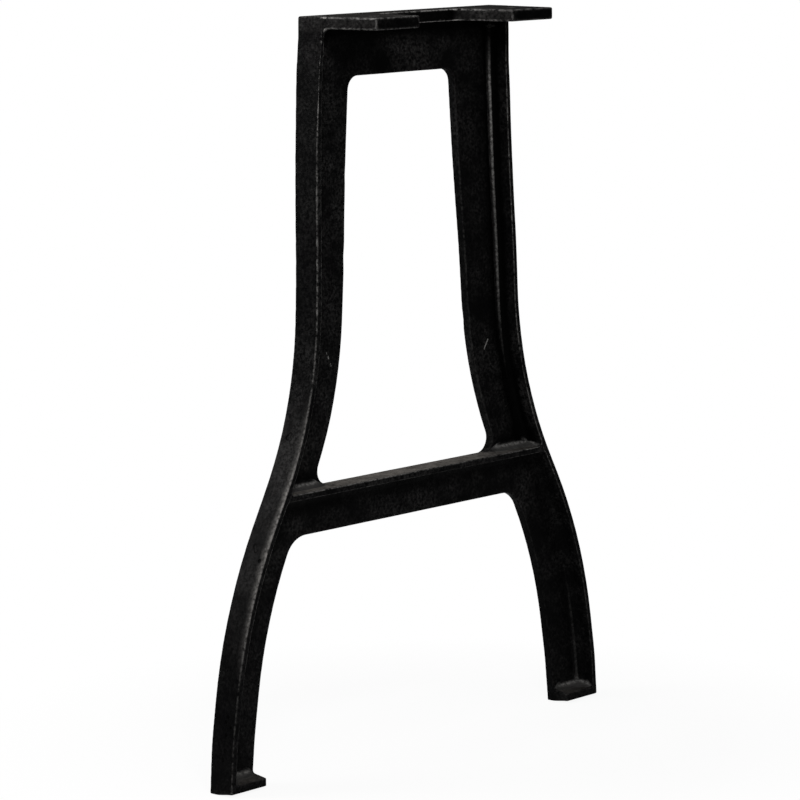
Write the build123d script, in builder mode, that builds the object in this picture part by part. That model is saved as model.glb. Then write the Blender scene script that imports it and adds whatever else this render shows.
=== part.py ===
from build123d import *
from math import hypot, radians, tan
import os

# Cast-iron table leg, millimetres.
# The frame: X across the leg, Z up, and Y from the ribs at the front (-Y) to the flat back.
# The leg is drawn with its back in the plane Y = 0. Its last move puts the origin on the floor,
# under the middle of the leg as seen from above.

# Overall height, and the half widths of the outer edge from the top down to the floor.
# The outer edge is four straight runs joined by three bends.
height = 720.0
outer_top_x = 136.0
outer_foot_x = 270.0
outer_upper_bend = (150.0, 351.0)
outer_upper_radius = 375.0
outer_lower_inset = 22.0
outer_lower_bend = (outer_foot_x - outer_lower_inset, 171.0)
outer_lower_radius = 480.0

# The inner edge of each limb runs beside the outer one, and closes in on it towards the foot.
inner_top_x = 71.0
foot_width = 48.5
inner_foot_x = outer_foot_x - foot_width
inner_upper_bend = (96.0, 343.0)
inner_upper_radius = 380.0
inner_lower_inset = 23.5
inner_lower_bend = (inner_foot_x - inner_lower_inset, 164.0)
inner_lower_radius = 425.0

# Both edges turn once more just above the foot.
ankle_height = 46.0
ankle_radius = 300.0
outer_ankle_inset = 3.0
inner_ankle_inset = 4.5
outer_ankle = (outer_foot_x - outer_ankle_inset, ankle_height)
inner_ankle = (inner_foot_x - inner_ankle_inset, ankle_height)

# The section: a flat web at the back, with a rib along the outer edge that stands out to the front.
web_thickness = 9.0
rib_depth = 28.0
outer_draft = 2.0
rib_thickness = 8.0
core_draft = 3.0
core_floor_radius = 3.0
core_corner_radius = 4.0

# Top rail: a plate on top, and the web hanging below it.
plate_thickness = 11.5
rail_bottom_z = 661.0

# Crossbar: a shelf along the top of a web with a straight lower edge.
bar_top_z = 274.0
bar_bottom_z = 229.0
shelf_thickness = 6.0
shelf_setback = 1.5

# Feet: the top of a foot slopes down to its front.
foot_thickness = 8.0
foot_slope = 14.0
toe_radius = 4.0

# Rounded corners of the two gaps, and the soft front edges of the web around them.
gap_corner_radius = 14.0
arch_corner_radius = 28.0
web_edge_radius = 1.8
rib_edge_radius = 1.8
sole_edge_radius = 1.5

# Ears: two tongues of the top plate that reach forward under the table top.
ear_reach = 91.0
ear_tip_outer_inset = 9.7
ear_tip_inner_x = 66.5
ear_root_inner_x = 56.0
ear_tip_radius = 2.0
ear_root_radius = 10.0
ear_underside_radius = 8.0
plate_edge_radius = 1.5
top_edge_radius = 1.0

# Screw holes through the ears, from below into the table top.
screw_hole_radius = 4.0
screw_spacing = 196.0
screw_setback = 62.0


def moved_inwards(line, distance):
    """The runs of a half outline, each moved towards the middle by a distance, and joined up again."""
    runs = []
    for (x_high, z_high), (x_low, z_low) in zip(line, line[1:]):
        slope = (x_low - x_high) / (z_high - z_low)
        runs.append((x_high + slope * z_high - distance * hypot(1, slope), slope))
    corners = [(runs[0][0] - runs[0][1] * line[0][1], line[0][1])]
    for (x_a, slope_a), (x_b, slope_b) in zip(runs, runs[1:]):
        z = (x_b - x_a) / (slope_b - slope_a)
        corners.append((x_a - slope_a * z, z))
    corners.append((runs[-1][0] - runs[-1][1] * line[-1][1], line[-1][1]))
    return corners


outer_line = [(outer_top_x, height), outer_upper_bend, outer_lower_bend, outer_ankle, (outer_foot_x, 0)]
outer_radii = [outer_upper_radius, outer_lower_radius, ankle_radius]
inner_line = [(inner_top_x, height), inner_upper_bend, inner_lower_bend, inner_ankle, (inner_foot_x, 0)]
inner_radii = [inner_upper_radius, inner_lower_radius, ankle_radius]
# The upper bend is hollow on the outside of the leg, and the other two are hollow on the inside.
rib_line = moved_inwards(outer_line, rib_thickness)
rib_radii = [
    outer_upper_radius + rib_thickness,
    outer_lower_radius - rib_thickness,
    ankle_radius - rib_thickness,
]

# The outer face of a rib leans in a little towards the front.
rib_front_top_x = outer_top_x - rib_depth * tan(radians(outer_draft))

# The cores reach out past the ribs, to clear the soft corners under the ears.
core_depth = rib_depth - web_thickness + 2 * ear_underside_radius
plate_bottom = height - plate_thickness
toe_x = inner_foot_x - (inner_foot_x - inner_ankle[0]) * foot_thickness / inner_ankle[1]
# How near counts as touching, and how straight along Y counts as along Y
near = 0.01
nearly_straight = 0.9


def on_rib_front(edge):
    """True for an edge in the plane of the ribs' front faces."""
    return abs((edge @ 0.5).Y + rib_depth) < near


def is_beside(shape):
    """True for a face or an edge at the outside of a limb."""
    return abs(shape.center().X) > rib_front_top_x - near


def under_plate(edge):
    """True for an edge at the underside of the top plate."""
    return abs((edge @ 0.5).Z - plate_bottom) < near


def is_gap_corner(vertex):
    """True for a corner of the window, at its sill or its head."""
    return abs(vertex.Y - bar_top_z) < near or abs(vertex.Y - rail_bottom_z) < near


def is_web_edge(edge):
    """True for a front edge of the web that runs along the outline of a gap."""
    middle = edge @ 0.5
    behind = Vertex(middle.X, 0, middle.Z)
    along_gap = min(line.distance_to(behind) for line in openings.sketch.edges()) < near
    return abs(middle.Y + web_thickness) < near and along_gap


def hollow(low, high):
    """The area inside the ribs, between two heights."""
    with BuildSketch() as area:
        with BuildLine() as edge:
            FilletPolyline(*rib_line, radius=rib_radii)
            Polyline(edge.line @ 1, (0, 0), (0, height), edge.line @ 0)
        make_face()
        mirror(about=Plane.YZ)
        with Locations((0, (low + high) / 2)):
            Rectangle(2 * outer_foot_x, high - low, mode=Mode.INTERSECT)
    return area.sketch


def core(low, high, low_slope):
    """The body of a hollow in the front face, wider at the front except along its top."""
    with BuildPart() as block:
        with BuildSketch(Plane.XZ.offset(web_thickness)):
            add(hollow(low, high))
        extrude(amount=core_depth)
        walls = block.faces().filter_by(Axis.Y, reverse=True).sort_by(Axis.Z)
        draft(walls[1:-1], Plane.XZ.offset(web_thickness), -core_draft)
        walls = block.faces().filter_by(Axis.Y, reverse=True).sort_by(Axis.Z)
        draft(walls[:1], Plane.XZ.offset(rib_depth), -low_slope)
        uprights = ShapeList(e for e in block.edges() if abs(e.tangent_at(0.5).Y) > nearly_straight)
        uprights = uprights.group_by(Axis.Z)
        fillet(uprights[0] + uprights[-1], core_corner_radius)
        fillet(block.faces().sort_by(Axis.Y)[-1].edges(), core_floor_radius)
    return block.part


# The two gaps: the window between the posts, and the arch between the feet.
with BuildPart() as gaps:
    with BuildSketch(Plane.XZ) as openings:
        with BuildLine() as edge:
            FilletPolyline(*inner_line, radius=inner_radii)
            Polyline(edge.line @ 1, (0, 0), (0, height), edge.line @ 0)
        make_face()
        mirror(about=Plane.YZ)
        with Locations((0, (rail_bottom_z + height) / 2)):
            Rectangle(2 * outer_top_x, height - rail_bottom_z, mode=Mode.SUBTRACT)
        with Locations((0, (bar_bottom_z + bar_top_z) / 2)):
            Rectangle(2 * outer_foot_x, bar_top_z - bar_bottom_z, mode=Mode.SUBTRACT)
        corners = openings.vertices()
        fillet([c for c in corners if c.Y > bar_top_z - near and is_gap_corner(c)], gap_corner_radius)
        fillet([c for c in openings.vertices() if abs(c.Y - bar_bottom_z) < near], arch_corner_radius)
    extrude(amount=rib_depth)

with BuildPart() as leg_casting:
    # The whole outline as one block
    with BuildSketch(Plane.XZ):
        with BuildLine() as edge:
            FilletPolyline(*outer_line, radius=outer_radii)
            Polyline(edge.line @ 1, (0, 0), (0, height), edge.line @ 0)
        make_face()
        mirror(about=Plane.YZ)
    extrude(amount=rib_depth)
    sides = [f for f in leg_casting.faces().filter_by(Axis.Y, reverse=True) if is_beside(f)]
    draft(sides, Plane.XZ, outer_draft)
    fillet([e for e in leg_casting.edges() if on_rib_front(e) and is_beside(e)], rib_edge_radius)
    fillet([e for e in leg_casting.edges() if on_rib_front(e) and e.center().Z < near], sole_edge_radius)

    # The top plate, with its two ears
    with BuildSketch(Plane.XY.offset(plate_bottom)) as plate:
        with BuildLine():
            Polyline(
                (0, 0),
                (outer_top_x, 0),
                (outer_top_x - ear_tip_outer_inset, -ear_reach),
                (ear_tip_inner_x, -ear_reach),
                (ear_root_inner_x, -rib_depth),
                (0, -rib_depth),
                close=True,
            )
        make_face()
        fillet(plate.vertices().group_by(Axis.Y)[0], ear_tip_radius)
        fillet([c for c in plate.vertices() if abs(c.X - ear_root_inner_x) < near], ear_root_radius)
        mirror(about=Plane.YZ)
    extrude(amount=plate_thickness)

    # Soft corners under the ears, then worn edges round the ears and the plate
    fillet([e for e in leg_casting.edges() if under_plate(e) and on_rib_front(e)], ear_underside_radius)
    fillet([e for e in leg_casting.edges() if under_plate(e) and (e @ 0.5).Y < -rib_depth], plate_edge_radius)
    fillet(leg_casting.faces().sort_by(Axis.Z)[-1].edges(), top_edge_radius)

    # The hollows, the shelf's setback and the gaps
    add(core(bar_top_z, plate_bottom, core_draft), mode=Mode.SUBTRACT)
    add(core(foot_thickness, bar_top_z - shelf_thickness, foot_slope), mode=Mode.SUBTRACT)
    with BuildSketch(Plane.XZ.offset(rib_depth)):
        add(hollow(bar_top_z - shelf_thickness - shelf_setback, bar_top_z + shelf_setback))
    extrude(amount=-shelf_setback, mode=Mode.SUBTRACT)
    add(gaps.part, mode=Mode.SUBTRACT)

    # The front edge of the web round the window and along the arch
    fillet([e for e in leg_casting.edges() if is_web_edge(e)], web_edge_radius)

    # The front inner corners of the feet, rounded as seen from above
    with BuildSketch():
        with Locations((toe_x, -rib_depth)):
            Rectangle(2 * toe_radius, 2 * toe_radius)
        with Locations((toe_x + toe_radius, toe_radius - rib_depth)):
            Circle(toe_radius, mode=Mode.SUBTRACT)
        mirror(about=Plane.YZ)
    extrude(amount=foot_thickness + toe_radius, mode=Mode.SUBTRACT)

    # Screw holes
    with Locations(Plane.XY.offset(height)):
        with Locations((-screw_spacing / 2, -screw_setback), (screw_spacing / 2, -screw_setback)):
            Hole(screw_hole_radius, depth=plate_thickness)

leg_casting.part.move(Location((0, ear_reach / 2, 0)))
leg_casting.part.label = "leg_casting"
os.makedirs("parts", exist_ok=True)
export_step(leg_casting.part, "parts/leg_casting.step")
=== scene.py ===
# %% [markdown]
# # A cast-iron table leg
# The leg is one piece of iron that was poured into a sand mould. Its true shape is already in the packed
# model. This lesson gives that shape the skin of a real casting: soft edges, a slightly uneven surface, sand
# grain, black paint that has worn off the edges, and dust on the ledges. Its colour also holds painted light:
# a painted sheen on the knees, painted glints on the edges and in the corners, and painted shade in the
# hollows and on the right upright. It then lights the leg and sets up a camera.

import bpy
import numpy as np
from mathutils import Matrix, Vector


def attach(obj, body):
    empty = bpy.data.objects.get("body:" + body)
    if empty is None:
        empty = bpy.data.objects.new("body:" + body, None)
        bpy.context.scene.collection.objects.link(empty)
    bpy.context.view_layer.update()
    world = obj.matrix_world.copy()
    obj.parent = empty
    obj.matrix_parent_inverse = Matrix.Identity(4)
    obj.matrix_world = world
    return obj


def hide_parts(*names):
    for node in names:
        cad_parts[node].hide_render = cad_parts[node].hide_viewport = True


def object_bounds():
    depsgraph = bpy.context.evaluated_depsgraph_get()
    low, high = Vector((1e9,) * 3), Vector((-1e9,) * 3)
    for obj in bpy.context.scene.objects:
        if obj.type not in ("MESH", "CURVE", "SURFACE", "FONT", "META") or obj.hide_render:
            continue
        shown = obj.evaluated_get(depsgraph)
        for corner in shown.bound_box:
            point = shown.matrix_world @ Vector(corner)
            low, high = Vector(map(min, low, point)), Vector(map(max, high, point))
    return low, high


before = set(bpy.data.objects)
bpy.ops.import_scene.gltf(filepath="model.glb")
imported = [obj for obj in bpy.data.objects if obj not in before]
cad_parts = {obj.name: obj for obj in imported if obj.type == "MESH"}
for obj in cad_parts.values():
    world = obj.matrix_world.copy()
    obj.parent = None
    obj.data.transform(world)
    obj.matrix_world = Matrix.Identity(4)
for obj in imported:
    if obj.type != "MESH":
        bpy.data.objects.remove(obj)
cad_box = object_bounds()
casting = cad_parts["leg_casting"]
print("leg box", [[round(c, 4) for c in corner] for corner in cad_box])

# %% [markdown]
# ## The camera
# The picture is square. A long lens from three and a half metres away keeps the uprights nearly parallel. The
# camera's own axes are given as unit vectors: right and up, and back towards the viewer from those two.

# %% Camera
camera_place = Vector((-2.5876, -2.3179, 0.8796))
camera_right = Vector((0.67316, -0.73942, -0.0105))
camera_up = Vector((0.11934, 0.09462, 0.98833))
focal_pixels = 3628.0
picture_pixels = 800.0
sensor_width = 36.0
view_distance = 100.0

camera_data = bpy.data.cameras.new("camera")
camera_data.sensor_width = sensor_width
camera_data.lens = focal_pixels / picture_pixels * sensor_width
camera_data.clip_end = view_distance
camera = bpy.data.objects.new("camera", camera_data)
camera_back = camera_right.cross(camera_up)
turn = Matrix((camera_right, camera_up, camera_back)).transposed()
camera.matrix_world = Matrix.Translation(camera_place) @ turn.to_4x4()
bpy.context.scene.collection.objects.link(camera)
bpy.context.scene.camera = camera
print("lens", round(camera_data.lens, 1), "mm")

# %% [markdown]
# ## The casting's skin
# A casting has no perfectly sharp edge and no perfectly flat face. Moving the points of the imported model
# would tear it, because its flat faces are only a few large triangles. A voxel remesh first covers the whole
# leg with small even faces, as fine as the smallest rounding of an edge. A Smooth modifier then evens out the
# small steps that the voxels leave.

# %% Cover the leg with small faces
voxel_size = 0.0008
softening = 0.5
softening_rounds = 3

skin = bpy.data.objects.new("leg_skin", casting.data.copy())
bpy.context.scene.collection.objects.link(skin)
skin.data.transform(casting.matrix_world)
remesh = skin.modifiers.new("small faces", "REMESH")
remesh.mode = "VOXEL"
remesh.voxel_size = voxel_size
remesh.use_smooth_shade = True
soften = skin.modifiers.new("soft edges", "SMOOTH")
soften.factor = softening
soften.iterations = softening_rounds


def bake_modifiers(thing):
    """Turns an object and its modifiers into a plain mesh."""
    state = bpy.context.evaluated_depsgraph_get()
    mesh = bpy.data.meshes.new_from_object(thing.evaluated_get(state))
    thing.modifiers.clear()
    thing.data = mesh
    return mesh


fine = bake_modifiers(skin)
print("fine skin:", len(fine.vertices), "points")

# %% [markdown]
# ## The founder's hand
# A pattern is carved by hand and iron shrinks as it cools, so the real leg is not quite straight. These are
# single places, so numpy moves the points of the small faces there. It works on all the points at once: x, y
# and z are views of the same table, so what changes in them changes the points. The sides of the ears and the
# ribs get one common limit, which makes them run flush into each other.

# %% Flush sides, leaning uprights and worn soles
points = np.empty(len(fine.vertices) * 3)
fine.vertices.foreach_get("co", points)
points = points.reshape(-1, 3)
x, y, z = points.T


def eased(values, low, high):
    """Goes smoothly from 0 at the low end to 1 at the high end."""
    t = np.clip((values - low) / (high - low), 0.0, 1.0)
    return t * t * (3 - 2 * t)


# How wide the leg is at its back, and how much it narrows for each metre towards the front
back_y = cad_box[1][1]
top_half_width = 0.136
side_slope = 0.0379
rib_narrowing = 0.0349
ear_narrowing = 0.1066
flush_above = 0.50
ears_begin, ears_full = 0.58, 0.7085
depth = np.clip(back_y - y, 0, None)
ear_share = eased(z, ears_begin, ears_full)
half_width = top_half_width + side_slope * (cad_box[1][2] - z)
limit = half_width - depth * (rib_narrowing + (ear_narrowing - rib_narrowing) * ear_share)
x[:] = np.where(z > flush_above, np.sign(x) * np.minimum(np.abs(x), limit), x)

# The uprights lean to the right above the crossbar, and to the left below the top rail. Each lean grows
# between two heights and fades between two others.
lean_right, right_grows, right_fades = 0.0009, (0.26, 0.34), (0.46, 0.54)
lean_left, left_grows, left_fades = 0.0018, (0.48, 0.60), (0.66, 0.705)
x += lean_right * eased(z, *right_grows) * (1 - eased(z, *right_fades))
x -= lean_left * eased(z, *left_grows) * (1 - eased(z, *left_fades))

# The soles are worn round towards the front, and the wear fades out up the foot
sole_wear = 0.0024
sole_reach = 0.03
worn_from, worn_fully = 0.006, 0.028
low_down = np.clip(1 - z / sole_reach, 0, 1)
z += sole_wear * low_down * eased(back_y - y, worn_from, worn_fully)
print("moved by hand:", len(points), "points, lowest at", round(float(z.min()), 5))

# %% [markdown]
# ## Dents and pits
# A grinder took a little off the sides of the window, a blister was left on the right web, and loose sand
# left pits in the outer face of the left rib. Each is a middle, a reach and a push. The push fades with the
# distance from the middle as a bell curve does.

# %% Press in the dents
per_metre = 1000
dents_in_mm = [
    ((-78.0, 41.0, 568.0), 7.0, (-0.9, 0.0, 0.0)),
    ((-83.0, 41.0, 490.0), 9.0, (-1.0, 0.0, 0.0)),
    ((91.0, 41.0, 412.0), 8.0, (1.0, 0.0, 0.0)),
    ((-139.0, 24.0, 402.0), 3.0, (0.8, 0.0, 0.0)),
    ((120.6, 36.5, 413.8), 3.6, (0.0, -0.4, 0.0)),
    ((120.6, 36.5, 413.8), 1.7, (0.0, 1.1, 0.0)),
    ((-167.9, 36.6, 326.0), 2.4, (1.0, 0.0, -0.3)),
    ((-166.6, 34.2, 329.2), 1.9, (0.9, 0.0, -0.3)),
    ((-168.6, 33.0, 325.0), 1.7, (0.8, 0.0, -0.3)),
    ((-215.7, 34.3, 228.7), 2.3, (0.9, 0.0, -0.4)),
    ((-217.4, 32.0, 225.4), 1.7, (0.8, 0.0, -0.3)),
    ((-220.7, 24.4, 217.4), 1.8, (0.8, 0.0, -0.3)),
    ((-261.9, 27.7, 75.1), 1.6, (0.7, 0.0, 0.0)),
    ((-262.8, 29.6, 70.2), 1.4, (0.6, 0.0, 0.0)),
    ((-263.2, 22.7, 65.6), 1.8, (0.8, 0.0, 0.0)),
    ((-264.5, 28.2, 58.3), 1.5, (0.7, 0.0, 0.0)),
    ((-266.3, 28.0, 43.4), 1.7, (0.8, 0.0, 0.0)),
    ((-267.2, 30.1, 34.6), 1.5, (0.7, 0.0, 0.0)),
]
for middle, reach, push_in in dents_in_mm:
    distances = (points - np.array(middle) / per_metre) / (reach / per_metre)
    near = np.exp(-(distances**2).sum(axis=1))
    points += near[:, None] * np.array(push_in) / per_metre

fine.vertices.foreach_set("co", points.ravel())
fine.update()
print("dents:", len(dents_in_mm))

# %% [markdown]
# ## Helpers for building node trees
# The rest of the unevenness follows a rule, so Geometry Nodes make it, and the paint is a tree of nodes as
# well. Both are built by script. Each helper adds one node, feeds its inputs and gives back its output, so
# that a line of code reads like a formula.


# %% Node helpers
def feed(tree, socket, value):
    """Joins an input to another node's output, or gives it a plain value."""
    if hasattr(value, "links"):
        tree.links.new(value, socket)
    else:
        socket.default_value = value


def math_node(tree, operation, first, second=0.0):
    """A Math node. Each input is a number or a socket."""
    node = tree.nodes.new("ShaderNodeMath")
    node.operation = operation
    feed(tree, node.inputs[0], first)
    feed(tree, node.inputs[1], second)
    return node.outputs[0]


def vector_node(tree, operation, first, second=None):
    """A Vector Math node of sockets or vectors. Gives the node, because some operations give a number."""
    node = tree.nodes.new("ShaderNodeVectorMath")
    node.operation = operation
    feed(tree, node.inputs[0], first)
    if second is not None:
        feed(tree, node.inputs[1], second)
    return node


def scaled(tree, vector, factor):
    """A vector times a number."""
    node = vector_node(tree, "SCALE", vector)
    feed(tree, node.inputs["Scale"], factor)
    return node.outputs[0]


def between(tree, value, low, high, before=0.0, after=1.0):
    """Goes from one strength to another while a value goes from low to high, and stays there beyond."""
    node = tree.nodes.new("ShaderNodeMapRange")
    feed(tree, node.inputs["Value"], value)
    feed(tree, node.inputs["From Min"], low)
    feed(tree, node.inputs["From Max"], high)
    feed(tree, node.inputs["To Min"], before)
    feed(tree, node.inputs["To Max"], after)
    return node.outputs["Result"]


def split(tree, vector):
    """The three parts of a vector: X, Y and Z."""
    node = tree.nodes.new("ShaderNodeSeparateXYZ")
    feed(tree, node.inputs[0], vector)
    return node.outputs["X"], node.outputs["Y"], node.outputs["Z"]


print("helpers: feed, math_node, vector_node, scaled, between, split")

# %% [markdown]
# ## The cast surface, in Geometry Nodes
# The tree's own inputs carry all its sizes, in metres, so the skin can be tuned in the modifier's panel
# without opening the tree. Steps are rounds of blurring: the more there are, the wider the neighbourhood that
# counts. The heights for edge, shoulder and hollow are the distance that counts as 1 in the attribute of that
# name.

# %% The tree and its named inputs
skin_tree = bpy.data.node_groups.new("cast_skin", "GeometryNodeTree")
skin_tree.interface.new_socket("Geometry", in_out="INPUT", socket_type="NodeSocketGeometry")
skin_inputs = {
    "Wave height": (0.00035, "NodeSocketFloat"),
    "Wave size": (0.040, "NodeSocketFloat"),
    "Lump height": (0.00012, "NodeSocketFloat"),
    "Lump size": (0.006, "NodeSocketFloat"),
    "Fillet steps": (150, "NodeSocketInt"),
    "Fillet start": (0.0005, "NodeSocketFloat"),
    "Fillet top": (0.700, "NodeSocketFloat"),
    "Edge height": (0.00024, "NodeSocketFloat"),
    "Edge steps": (6, "NodeSocketInt"),
    "Shoulder height": (0.0018, "NodeSocketFloat"),
    "Shoulder steps": (110, "NodeSocketInt"),
    "Hollow height": (0.0030, "NodeSocketFloat"),
    "Hollow steps": (420, "NodeSocketInt"),
    "Flat margin": (0.0004, "NodeSocketFloat"),
    "Lowest corner": (tuple(cad_box[0]), "NodeSocketVector"),
    "Highest corner": (tuple(cad_box[1]), "NodeSocketVector"),
    "Material": (None, "NodeSocketMaterial"),
}
for name, (value, kind) in skin_inputs.items():
    socket = skin_tree.interface.new_socket(name, in_out="INPUT", socket_type=kind)
    if value is not None:
        socket.default_value = value
skin_tree.interface.new_socket("Geometry", in_out="OUTPUT", socket_type="NodeSocketGeometry")
start = skin_tree.nodes.new("NodeGroupInput")
end = skin_tree.nodes.new("NodeGroupOutput")
print("inputs:", ", ".join(skin_inputs))

# %% [markdown]
# ### What stays flat
# The feet stand on their soles and the table lies on the plate, so the roughness leaves both of them out.
# Position and Normal are fields: each node that uses them works them out afresh for every point.

# %% The soles and the top are flat
position = skin_tree.nodes.new("GeometryNodeInputPosition").outputs[0]
normal = skin_tree.nodes.new("GeometryNodeInputNormal").outputs[0]


def height_of(vector):
    """The upward part of a vector."""
    return split(skin_tree, vector)[2]


floor_height = height_of(start.outputs["Lowest corner"])
top_height = height_of(start.outputs["Highest corner"])
above_soles = math_node(skin_tree, "SUBTRACT", height_of(position), floor_height)
below_top = math_node(skin_tree, "SUBTRACT", top_height, height_of(position))
clearance = math_node(skin_tree, "MINIMUM", above_soles, below_top)
rough_part = math_node(skin_tree, "GREATER_THAN", clearance, start.outputs["Flat margin"])


def move_by(geometry, offset):
    """Moves the points of the rough part."""
    move = skin_tree.nodes.new("GeometryNodeSetPosition")
    feed(skin_tree, move.inputs["Geometry"], geometry)
    feed(skin_tree, move.inputs["Selection"], rough_part)
    feed(skin_tree, move.inputs["Offset"], offset)
    return move.outputs["Geometry"]


print("flat margin:", skin_inputs["Flat margin"][0], "m")

# %% [markdown]
# ### Fuller inner corners
# Sand crumbles off a sharp edge of the mould, so the iron fills the inner corners. Blur Attribute gives the
# average place of a point's neighbourhood. In an inner corner that average lies in front of the surface, so
# the point moves to it. On a flat face the two are the same, and on an outer edge the average lies behind, so
# nothing moves.


# %% Fill the inner corners
def average_place(steps):
    """The average place of a point and its surroundings. More steps reach further."""
    average = skin_tree.nodes.new("GeometryNodeBlurAttribute")
    average.data_type = "FLOAT_VECTOR"
    feed(skin_tree, [s for s in average.inputs if s.enabled and s.name == "Value"][0], position)
    feed(skin_tree, average.inputs["Iterations"], steps)
    return [s for s in average.outputs if s.enabled][0]


surroundings = average_place(start.outputs["Fillet steps"])
to_average = vector_node(skin_tree, "SUBTRACT", surroundings, position).outputs[0]
inner_corner = vector_node(skin_tree, "DOT_PRODUCT", to_average, normal).outputs["Value"]
fill_share = math_node(skin_tree, "DIVIDE", inner_corner, start.outputs["Fillet start"])
fill_share = between(skin_tree, fill_share, 0.0, 1.0)
below_plate = math_node(skin_tree, "LESS_THAN", height_of(position), start.outputs["Fillet top"])
fill_share = math_node(skin_tree, "MULTIPLY", fill_share, below_plate)
filled = move_by(start.outputs["Geometry"], scaled(skin_tree, to_average, fill_share))
print("fillets: reach", skin_inputs["Fillet steps"][0], "steps")

# %% [markdown]
# ### Waves and lumps
# Two noises push the surface in and out along its normals: long soft waves, and small lumps. The fourth
# dimension of a noise serves as its seed, so the two patterns differ and every run gives the same ones. Where
# a point then lies outside the leg's own box, it goes back to the box.


# %% Push the surface in and out
def push(geometry, kind, seed, detail=2.0):
    """Moves the surface along its normals by a noise. The kind names the inputs for its size and height."""
    noise = skin_tree.nodes.new("ShaderNodeTexNoise")
    noise.noise_dimensions = "4D"
    feed(skin_tree, noise.inputs["W"], seed)
    feed(skin_tree, noise.inputs["Detail"], detail)
    frequency = math_node(skin_tree, "DIVIDE", 1.0, start.outputs[kind + " size"])
    feed(skin_tree, noise.inputs["Scale"], frequency)
    centred = math_node(skin_tree, "SUBTRACT", noise.outputs["Fac"], 0.5)
    amount = math_node(skin_tree, "MULTIPLY", centred, start.outputs[kind + " height"])
    return move_by(geometry, scaled(skin_tree, normal, amount))


waved = push(filled, "Wave", seed=3.0)
lumped = push(waved, "Lump", seed=8.0)
raised = vector_node(skin_tree, "MAXIMUM", position, start.outputs["Lowest corner"]).outputs[0]
lowered = vector_node(skin_tree, "MINIMUM", raised, start.outputs["Highest corner"]).outputs[0]
boxed = skin_tree.nodes.new("GeometryNodeSetPosition")
feed(skin_tree, boxed.inputs["Geometry"], lumped)
feed(skin_tree, boxed.inputs["Position"], lowered)
print("waves", skin_inputs["Wave height"][0], "m, lumps", skin_inputs["Lump height"][0], "m")

# %% [markdown]
# ### Measure the surface for the paint
# A point that stands out from the average of its neighbours is on an edge, and one that lies behind it is in
# a hollow. The tree measures this for three neighbourhoods: a narrow one for sharp edges, a wider one for
# rounded shoulders, and a very wide one for whole hollows. With how far the surface faces up, that makes four
# attributes. The paint reads them later, so it follows the form by itself.


# %% Edges, shoulders, hollows and ledges
def standing_out(kind):
    """How far the surface stands out from its surroundings: above 0 on an edge, below 0 in a hollow."""
    apart = vector_node(skin_tree, "SUBTRACT", position, average_place(start.outputs[kind + " steps"]))
    along = vector_node(skin_tree, "DOT_PRODUCT", apart.outputs[0], normal)
    return math_node(skin_tree, "DIVIDE", along.outputs["Value"], start.outputs[kind + " height"])


def keep(geometry, name, value):
    """Keeps a number of every point under a name."""
    store = skin_tree.nodes.new("GeometryNodeStoreNamedAttribute")
    store.data_type = "FLOAT"
    store.domain = "POINT"
    feed(skin_tree, store.inputs["Name"], name)
    feed(skin_tree, store.inputs["Geometry"], geometry)
    feed(skin_tree, [s for s in store.inputs if s.enabled and s.name == "Value"][0], value)
    return store.outputs["Geometry"]


measured = boxed.outputs["Geometry"]
measures = {
    "edge": standing_out("Edge"),
    "shoulder": standing_out("Shoulder"),
    "hollow": standing_out("Hollow"),
    "ledge": height_of(normal),
}
for name, value in measures.items():
    measured = keep(measured, name, value)

realize = skin_tree.nodes.new("GeometryNodeRealizeInstances")
feed(skin_tree, realize.inputs[0], measured)
painted = skin_tree.nodes.new("GeometryNodeSetMaterial")
feed(skin_tree, painted.inputs["Geometry"], realize.outputs[0])
feed(skin_tree, painted.inputs["Material"], start.outputs["Material"])
feed(skin_tree, end.inputs["Geometry"], painted.outputs["Geometry"])
print("skin tree", len(skin_tree.nodes), "nodes, measures:", ", ".join(measures))

# %% [markdown]
# ## Black paint on sand-cast iron
# The paint is nearly black and barely shiny. The material begins with it and lays one thing after another
# over it: thin paint, wear, scratches and dust, in the order in which they came to the real leg, with painted
# sheen and painted glints among them, and last painted shade in the hollows. Each has a mask, which is 1
# where the thing is and 0 where it isn't. Object coordinates keep every pattern at its real size.

# %% The material and its colours
black_paint = (0.0013, 0.0013, 0.0014, 1.0)
# Grey of thin paint, which on the outer face of the knee is also a painted sheen
thin_paint_and_sheen_grey = (0.030, 0.029, 0.0285, 1.0)
# Grey of a painted sheen on the knees and on the sides of the ears
painted_sheen_grey = (0.15, 0.143, 0.137, 1.0)
# Bare iron on the worn edges, which also serves as painted glints
bare_iron_and_glint = (0.31, 0.30, 0.29, 1.0)
# Grey of the painted glints in the filled corners
painted_glint_grey = (0.34, 0.33, 0.32, 1.0)
scratched = (0.16, 0.155, 0.15, 1.0)
dust = (0.105, 0.097, 0.089, 1.0)
# Black of the painted shade in the hollows, the pits and on the ear fronts
painted_shade_black = (0.0002, 0.0002, 0.0002, 1.0)
paint_gloss = 0.014

iron = bpy.data.materials.new("black_cast_iron")
iron.use_nodes = True
paint_tree = iron.node_tree
shader = paint_tree.nodes["Principled BSDF"]
shader.inputs["Specular IOR Level"].default_value = paint_gloss
place = paint_tree.nodes.new("ShaderNodeTexCoord").outputs["Object"]


def noise_of(size, detail, seed, roughness=0.5):
    """A noise whose features are about as large as the given size, in metres."""
    node = paint_tree.nodes.new("ShaderNodeTexNoise")
    node.noise_dimensions = "4D"
    feed(paint_tree, node.inputs["Vector"], place)
    feed(paint_tree, node.inputs["W"], seed)
    feed(paint_tree, node.inputs["Scale"], 1.0 / size)
    feed(paint_tree, node.inputs["Detail"], detail)
    feed(paint_tree, node.inputs["Roughness"], roughness)
    return node.outputs["Fac"]


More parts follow.
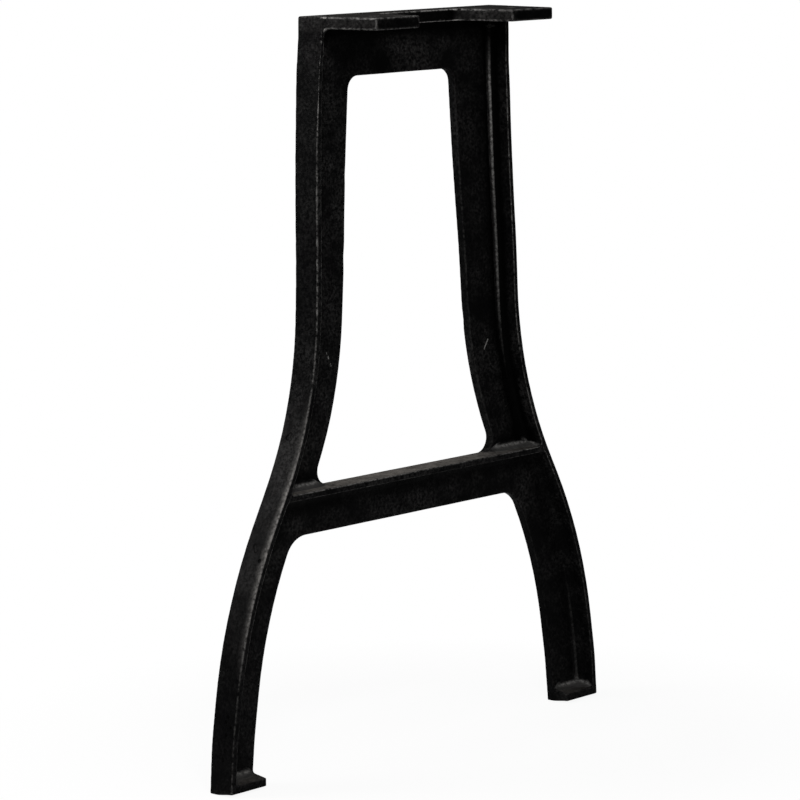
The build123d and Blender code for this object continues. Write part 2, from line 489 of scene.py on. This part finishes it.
def mask(value, low, high, before=0.0, after=1.0):
    """Goes from one strength to another while a value goes from low to high."""
    return between(paint_tree, value, low, high, before, after)


def times(*masks):
    """The product of some masks: 1 only where all of them are."""
    product = masks[0]
    for other in masks[1:]:
        product = math_node(paint_tree, "MULTIPLY", product, other)
    return product


def either(*masks):
    """The largest of some masks: 1 where any of them is."""
    largest = masks[0]
    for other in masks[1:]:
        largest = math_node(paint_tree, "MAXIMUM", largest, other)
    return largest


def cover(under, where, over):
    """Lays a colour over another one where a mask says so. Each colour is four numbers or a socket."""
    node = paint_tree.nodes.new("ShaderNodeMix")
    node.data_type = "RGBA"
    feed(paint_tree, node.inputs["Factor"], where)
    colour_inputs = [s for s in node.inputs if s.type == "RGBA"]
    feed(paint_tree, colour_inputs[0], under)
    feed(paint_tree, colour_inputs[1], over)
    return [s for s in node.outputs if s.type == "RGBA"][0]


print("material", iron.name)

# %% [markdown]
# ### Patterns
# Four noises give the paint its life, from slow blotches to fine specks. The first number is the size of
# their features. Cutting a noise off at both ends turns soft clouds into patches with an edge.

# %% Blotches, specks, strokes and stretches
blotches = noise_of(0.030, detail=6.0, seed=2.0, roughness=0.68)
specks = noise_of(0.0028, detail=3.0, seed=5.0, roughness=0.75)
strokes = mask(noise_of(0.0035, detail=4.0, seed=11.0, roughness=0.7), 0.40, 0.60)
stretches = mask(noise_of(0.045, detail=2.0, seed=17.0), 0.38, 0.62, before=0.35)
speckled = times(mask(blotches, 0.40, 0.66, before=0.06), mask(specks, 0.42, 0.68))
grainy = times(mask(blotches, 0.34, 0.56, before=0.25), mask(specks, 0.34, 0.62, before=0.25))
print("patterns: speckled, grainy, strokes, stretches")

# %% [markdown]
# ### Places on the leg
# Where a thing wears depends on where it is touched. These masks say it with the place of a point, in metres,
# and with the way that the surface faces there. While the value of a mask goes from its first number to its
# second, the mask goes from 0 to 1, or from before to after where those are given.


# %% Places and directions
def attribute(name):
    """A number that the skin keeps for each of its points."""
    node = paint_tree.nodes.new("ShaderNodeAttribute")
    node.attribute_name = name
    return node.outputs["Fac"]


edge, shoulder, hollow, ledge = [attribute(name) for name in measures]
across, forward, up = split(paint_tree, place)
facing = paint_tree.nodes.new("ShaderNodeNewGeometry").outputs["Normal"]
facing_right, facing_back, facing_up = split(paint_tree, facing)

# Away from the middle of the leg, or towards the gaps
outward = times(facing_right, math_node(paint_tree, "SIGN", across))
outer_side = mask(outward, 0.2, 0.65)
inner_faces = mask(outer_side, 1.0, 0.0)
gap_sides = times(mask(outward, -0.6, -0.9), mask(forward, 0.035, 0.038))

# From the back to the front
in_front_of_web = mask(forward, 0.034, 0.022, before=0.35)
less_on_ears = mask(forward, 0.008, 0.016, before=0.42)
near_front = mask(forward, 0.034, 0.025)
off_back_edge = either(mask(forward, 0.043, 0.038), mask(facing_back, 0.35, 0.60))

# From the floor to the top
above_feet = mask(up, 0.08, 0.25, before=0.26)
knee = times(mask(up, 0.11, 0.21), mask(up, 0.37, 0.28))
knee_sheen_band = times(mask(up, 0.12, 0.20), mask(up, 0.38, 0.31))
on_the_plate = mask(up, 0.704, 0.708)
not_below = either(mask(facing_up, -0.60, -0.20, before=0.12), on_the_plate)
most_on_outside = either(mask(outer_side, 0.0, 1.0, before=0.4), on_the_plate)
print("attributes read:", ", ".join(measures))

# %% [markdown]
# ### Thinner paint where hands hold the leg
# People carry the leg by the top of its posts and by its knees, and the paint is thinner and greyer there.
# The outer face of the knee also gets the grey as a painted sheen, where the tilted face catches the light.
# The right upright, in the shade of its rib, and the sides of the window get less of the grey, as painted
# shade.

# %% Thinner paint
held_high = mask(up, 0.55, 0.68, before=0.50)
held_low = times(mask(up, 0.14, 0.24), mask(up, 0.46, 0.38))
# Painted shade: the right upright and the sides of the window get less grey, so they stay darker
right_upright_painted_shade = either(mask(across, 0.03, 0.08, before=1.0, after=0.45), mask(up, 0.30, 0.24))
gap_sides_painted_shade = mask(gap_sides, 0.0, 1.0, before=1.0, after=0.2)
inner_side = times(inner_faces, right_upright_painted_shade, gap_sides_painted_shade)
calmer_below = mask(up, 0.12, 0.30, before=0.60)
knee_sheen_strength = 0.38

thinness = times(speckled, either(held_high, held_low, inner_side), calmer_below)
colour = cover(black_paint, thinness, thin_paint_and_sheen_grey)
# Painted sheen: the outer face of the knee turns grey where its tilted face catches the light
colour = cover(colour, times(knee_sheen_band, outer_side, grainy, knee_sheen_strength), thin_paint_and_sheen_grey)
print("thin paint on the outer faces and on the knees")

# %% [markdown]
# ### Worn edges and painted glints
# Hands, floors and other legs rub the paint off the edges, and bare iron shows there in short bright strokes.
# The strokes are also painted glints: they are kept to the edges that face the lamps, at the front and
# outside, and left off the back edges and the undersides. The attribute named edge says where the edges are.
# Multiplied by noises it breaks up, as real wear does. The plate's edges are knocked most often, so they are
# worn sooner than the others.

# %% Bare iron and painted glints on the edges
worn_and_glinting_edges = either(mask(edge, 0.60, 1.25), times(mask(edge, 0.34, 0.85), on_the_plate))
wear_and_glint_places = times(in_front_of_web, less_on_ears, above_feet, most_on_outside, off_back_edge, not_below)
# Partly real wear and partly painted glints on the edges that face the lamps
edge_wear_and_glint = times(worn_and_glinting_edges, strokes, stretches, wear_and_glint_places)
colour = cover(colour, edge_wear_and_glint, bare_iron_and_glint)
print("bare iron on the worn edges")

# %% [markdown]
# ### Painted sheen on the knees and painted glints in the corners
# The rounded shoulders of the knees get a broad painted sheen, wider than an edge, where they catch the
# light. The filled corners at the right rib and above the shelf get a bright line as a painted glint, where
# they face the light. Such a corner is a hollow for the attribute named shoulder, and it faces halfway
# between its two walls. That direction is what picks it out.

# %% Painted sheen and painted glints
corner_direction = (-0.42, -0.87, 0.25)

# Painted sheen on the rounded shoulders of the knees
broken_shine = mask(strokes, 0.0, 1.0, before=0.3)
shoulder_painted_sheen = times(mask(shoulder, 0.10, 0.90), knee, outer_side, near_front, broken_shine)
colour = cover(colour, shoulder_painted_sheen, painted_sheen_grey)

# Painted glints: a bright line in the filled corners that face the light
along_corner = vector_node(paint_tree, "DOT_PRODUCT", facing, corner_direction).outputs["Value"]
front_left = mask(along_corner, 0.93, 0.985)
upright_part = times(mask(up, 0.34, 0.60, before=0.15), mask(up, 0.69, 0.65))
corner_line = times(mask(shoulder, -0.15, -0.50), mask(strokes, 0.0, 1.0, before=0.25))
rib_corner_painted_glint = times(corner_line, front_left, upright_part)
on_ledge = mask(facing_up, 0.22, 0.50)
rim = times(mask(facing_up, 0.85, 0.55), strokes)
bright_rim = mask(rim, 0.0, 1.0, before=0.09, after=0.40)
ledge_corner_painted_glint = times(on_ledge, mask(shoulder, -0.06, -0.40), bright_rim)
colour = cover(colour, either(rib_corner_painted_glint, ledge_corner_painted_glint), painted_glint_grey)

# The sides of the ears that face left, towards the key light, get a faint grey as painted light
ear_sides = times(on_the_plate, mask(facing_right, -0.3, -0.8))
ear_side_painted_light = times(ear_sides, mask(specks, 0.35, 0.70, before=0.01, after=0.07))
colour = cover(colour, ear_side_painted_light, painted_sheen_grey)
print("shine on the knees, scrapes in the corners")

# %% [markdown]
# ### Two scratches
# Two marks are too plain to leave to chance: a scratch on the right upright and a dotted one on the left.
# Each is a straight line between two points. Its mask is the distance to the line, cut off at a small reach.

# %% Two scratches
web_front = 0.0365
scratch_reach = 0.0009
full_within = 0.4


def scratch(start_point, end_point):
    """A mask that is 1 along a thin line between two points."""
    first, last = Vector(start_point), Vector(end_point)
    run = last - first
    from_start = vector_node(paint_tree, "SUBTRACT", place, first).outputs[0]
    done = vector_node(paint_tree, "DOT_PRODUCT", from_start, run / run.length_squared)
    nearest = scaled(paint_tree, run, mask(done.outputs["Value"], 0.0, 1.0))
    apart = vector_node(paint_tree, "DISTANCE", from_start, nearest)
    return mask(apart.outputs["Value"], scratch_reach, scratch_reach * full_within)


long_scratch = scratch((0.1210, web_front, 0.3884), (0.1155, web_front, 0.3796))
dots = mask(noise_of(0.003, detail=1.0, seed=53.0), 0.45, 0.55)
dotted_scratch = times(scratch((-0.1123, web_front, 0.4007), (-0.1066, web_front, 0.3873)), dots)
colour = cover(colour, either(long_scratch, dotted_scratch), scratched)
print("scratches: 2")

# %% [markdown]
# ### Dust on the ledges
# The shelf and the tops of the feet face up, so they hold a thin brown dust. The attribute named ledge is 1
# where the surface faces straight up. A noise makes the dust drift, and the plate's top is swept nearly
# clean.

# %% Dust
dust_lies = mask(ledge, 0.955, 0.995)
drift = mask(noise_of(0.009, detail=5.0, seed=23.0, roughness=0.7), 0.36, 0.64, before=0.25)
swept_top = mask(up, 0.60, 0.70, before=1.0, after=0.12)
swept_feet = mask(up, 0.03, 0.05, before=0.45)
swept_end = mask(across, 0.08, 0.12, before=1.0, after=0.5)
colour = cover(colour, times(dust_lies, drift, swept_top, swept_feet, swept_end), dust)
print("dust laid on the ledges")

# %% [markdown]
# ### Painted shade in the hollows
# The depths of the hollows, the pits and the fronts of the ears get a deeper black than the paint, as painted
# shade. The corners with painted glints and the ledges are left out of it. This is the last layer of colour.

# %% Painted shade in the hollows
ear_shade_strength = 0.8

# Painted shade in the deep hollows, on the fronts of the ears and in the pits
hollow_painted_shade = times(mask(hollow, -0.03, -0.50, after=0.95), mask(up, 0.20, 0.30, before=0.25))
away_from_painted_glints = mask(either(front_left, on_ledge), 0.6, 0.0)
ear_front_painted_shade = times(on_the_plate, mask(facing_back, -0.85, -0.97), ear_shade_strength)
pit_painted_shade = times(mask(edge, -0.08, -0.30), outer_side)
colour = cover(colour, either(times(hollow_painted_shade, away_from_painted_glints), ear_front_painted_shade, pit_painted_shade), painted_shade_black)
feed(paint_tree, shader.inputs["Base Color"], colour)
print("colour complete")

# %% [markdown]
# ### Satin and grain
# A slow noise makes the satin of the paint blotchy, and dust makes it dull. Where iron shows, the surface is
# partly metal. A noise at the size of a grain of sand feeds a Bump node, which tilts the light without moving
# the mesh.

# %% Satin and grain
iron_share = 0.6
dust_dullness = 0.95
grain_size = 0.0011
grain_depth = 0.0005
grain_strength = 0.5

satin_noise = noise_of(0.014, detail=5.0, seed=31.0, roughness=0.65)
satin = mask(satin_noise, 0.35, 0.65, before=0.26, after=0.60)
dull = either(satin, mask(dust_lies, 0.0, 1.0, after=dust_dullness))
feed(paint_tree, shader.inputs["Roughness"], dull)
feed(paint_tree, shader.inputs["Metallic"], times(edge_wear_and_glint, iron_share))
bump = paint_tree.nodes.new("ShaderNodeBump")
feed(paint_tree, bump.inputs["Strength"], grain_strength)
feed(paint_tree, bump.inputs["Distance"], grain_depth)
feed(paint_tree, bump.inputs["Height"], noise_of(grain_size, detail=3.0, seed=41.0, roughness=0.6))
feed(paint_tree, shader.inputs["Normal"], bump.outputs["Normal"])
print("paint tree", len(paint_tree.nodes), "nodes")

# %% [markdown]
# ## One plain mesh
# The tree runs on the fine skin. A Decimate modifier after it takes away the faces that flat places don't
# need, and the result becomes one plain mesh. It then rides on the leg's body and stands in for the packed
# casting.

# %% Make the skin a plain mesh
most_faces = 190000

grow = skin.modifiers.new("cast skin", "NODES")
grow.node_group = skin_tree
for item in skin_tree.interface.items_tree:
    if item.item_type == "SOCKET" and item.name == "Material" and item.in_out == "INPUT":
        grow[item.identifier] = iron
face_count = sum(len(p.vertices) - 2 for p in fine.polygons)
thin = skin.modifiers.new("fewer faces", "DECIMATE")
thin.ratio = min(1.0, most_faces / face_count)
finished = bake_modifiers(skin)
finished.name = "leg_skin"

# Decimate can put a point a hair outside the box
points = np.empty(len(finished.vertices) * 3)
finished.vertices.foreach_get("co", points)
points = np.clip(points.reshape(-1, 3), cad_box[0], cad_box[1])
finished.vertices.foreach_set("co", points.ravel())
finished.update()
print("skin faces", face_count, "then", len(finished.polygons))
print("kept:", [a.name for a in finished.attributes])

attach(skin, "root")
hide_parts("leg_casting")

# %% [markdown]
# ## Floor
# The leg stands on a white floor that fades into a white background, so its dark outline reads clearly. Light
# Path tells the rays apart. The camera sees the far floor as plain glowing white and the floor near the feet
# with some of its shadow, while the light that falls on the leg comes from a plain matt floor.

# %% Floor
floor_reach = 6.0
floor_white = (0.8, 0.8, 0.8, 1.0)
fade_from, fade_to = 0.28, 0.50
glow_near_feet = 0.92


def seen_directly(tree, path):
    """1 for a ray from the camera, also through glass, and 0 for light that bounces about."""
    return math_node(tree, "MAXIMUM", path.outputs["Is Camera Ray"], path.outputs["Is Transmission Ray"])


floor_mesh = bpy.data.meshes.new("floor")
signs = [(-1, -1), (1, -1), (1, 1), (-1, 1)]
corners = [(floor_reach * sign_x, floor_reach * sign_y, 0) for sign_x, sign_y in signs]
floor_mesh.from_pydata(corners, [], [(0, 1, 2, 3)])
floor = bpy.data.objects.new("floor", floor_mesh)
bpy.context.scene.collection.objects.link(floor)

white = bpy.data.materials.new("white_floor")
white.use_nodes = True
floor_tree = white.node_tree
floor_tree.nodes.clear()
matt = floor_tree.nodes.new("ShaderNodeBsdfDiffuse")
matt.inputs["Color"].default_value = floor_white
glow = floor_tree.nodes.new("ShaderNodeEmission")
glow.inputs["Strength"].default_value = 1.0
from_middle = floor_tree.nodes.new("ShaderNodeTexCoord").outputs["Object"]
distance = vector_node(floor_tree, "LENGTH", from_middle).outputs["Value"]
fade = between(floor_tree, distance, fade_from, fade_to, glow_near_feet, 1.0)
direct = seen_directly(floor_tree, floor_tree.nodes.new("ShaderNodeLightPath"))
mix = floor_tree.nodes.new("ShaderNodeMixShader")
feed(floor_tree, mix.inputs["Fac"], math_node(floor_tree, "MULTIPLY", direct, fade))
feed(floor_tree, mix.inputs[1], matt.outputs[0])
feed(floor_tree, mix.inputs[2], glow.outputs[0])
out = floor_tree.nodes.new("ShaderNodeOutputMaterial")
feed(floor_tree, out.inputs["Surface"], mix.outputs[0])
floor_mesh.materials.append(white)
print("floor", 2 * floor_reach, "m wide")

# %% [markdown]
# ## World
# The camera sees a white world. The leg is lit by it only faintly, so that its black stays black, and what
# its surface mirrors lies in between.

# %% World
studio_level = 0.08
mirrored_level = 0.3

world = bpy.data.worlds.new("studio")
bpy.context.scene.world = world
world.use_nodes = True
sky = world.node_tree
background = sky.nodes["Background"]
path = sky.nodes.new("ShaderNodeLightPath")
mirrored = math_node(sky, "MULTIPLY", path.outputs["Is Glossy Ray"], mirrored_level)
white_share = math_node(sky, "MAXIMUM", seen_directly(sky, path), mirrored)
feed(sky, background.inputs["Strength"], between(sky, white_share, 0.0, 1.0, studio_level, 1.0))
background.inputs["Color"].default_value = (1.0, 1.0, 1.0, 1.0)
print("studio level", studio_level)

# %% [markdown]
# ## Lamps
# Three square softboxes light the leg. The large one hangs above, the key light stands at the front left and
# draws the bright lines along the left rib, and a weak one at the back left lifts the outer face. A track
# quaternion turns each lamp so that its own -Z axis, the way it shines, points to its target.

# %% Lamps
# Each lamp's place and target, the side of its square in metres, and its power in watts
lamps = {
    "top_light": ((-0.3, 0.0, 2.2), (0, 0, 0.4), 1.6, 22.0),
    "key_light": ((-1.1, -1.15, 1.6), (-0.1, 0, 0.4), 0.6, 22.0),
    "back_left_light": ((-0.95, 0.85, 1.05), (-0.15, 0, 0.35), 0.6, 9.0),
}
for name, (stand, target, side, power) in lamps.items():
    lamp_data = bpy.data.lights.new(name, "AREA")
    lamp_data.shape = "SQUARE"
    lamp_data.size = side
    lamp_data.energy = power
    lamp = bpy.data.objects.new(name, lamp_data)
    lamp.location = stand
    lamp.rotation_euler = (Vector(target) - Vector(stand)).to_track_quat("-Z", "Y").to_euler()
    bpy.context.scene.collection.objects.link(lamp)
    print(name, power, "W")

# %% [markdown]
# ## Colour view
# The Standard view shows the colours as they are, without a film curve. The dressed leg must not be larger
# than the imported one.

# %% Render settings
bpy.context.scene.view_settings.view_transform = "Standard"
